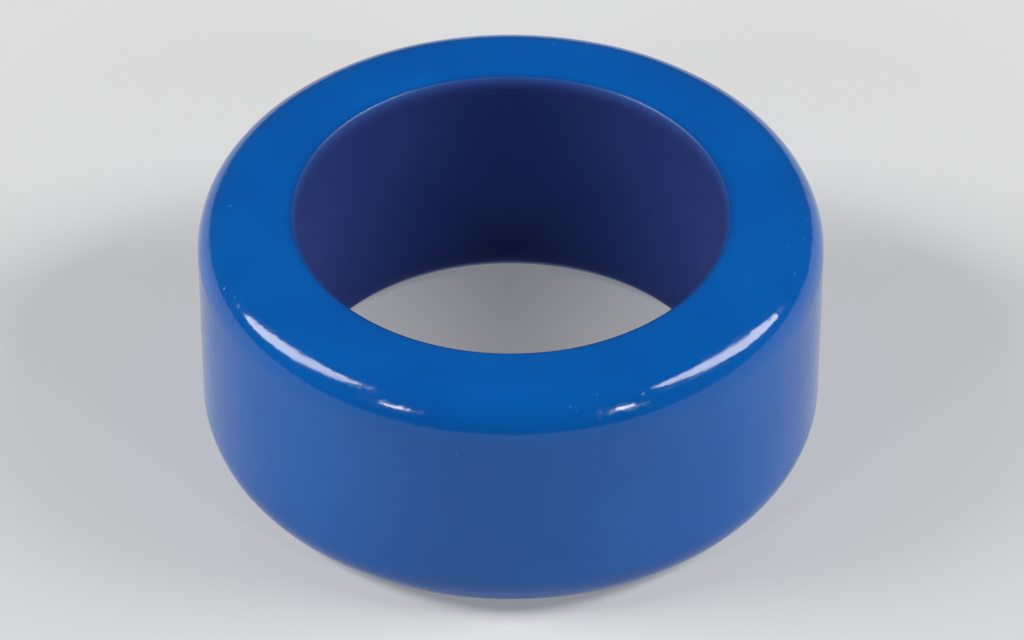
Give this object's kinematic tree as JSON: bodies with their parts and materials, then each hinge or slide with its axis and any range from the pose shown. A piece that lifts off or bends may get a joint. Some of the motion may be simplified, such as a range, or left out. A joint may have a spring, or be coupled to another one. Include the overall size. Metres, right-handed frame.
{
  "type": "elastomer friction ring",
  "caption": "Thick moulded rubber ring with a flat gripping face, broad rounded edges and an open bore, pressed on a screw-down watch case back to turn it by friction.",
  "frame": {"origin": "middle of the base that the ring stands on, on the ring's axis", "axes": "+Z along the ring's axis, from the narrow flat of the base to the broad flat gripping face"},
  "size_m": [0.05, 0.05, 0.0215],
  "materials": {
    "blue_elastomer": "gloss"
  },
  "bodies": {
    "root": {"friction_ring": "blue_elastomer"}
  },
  "joints": []
}
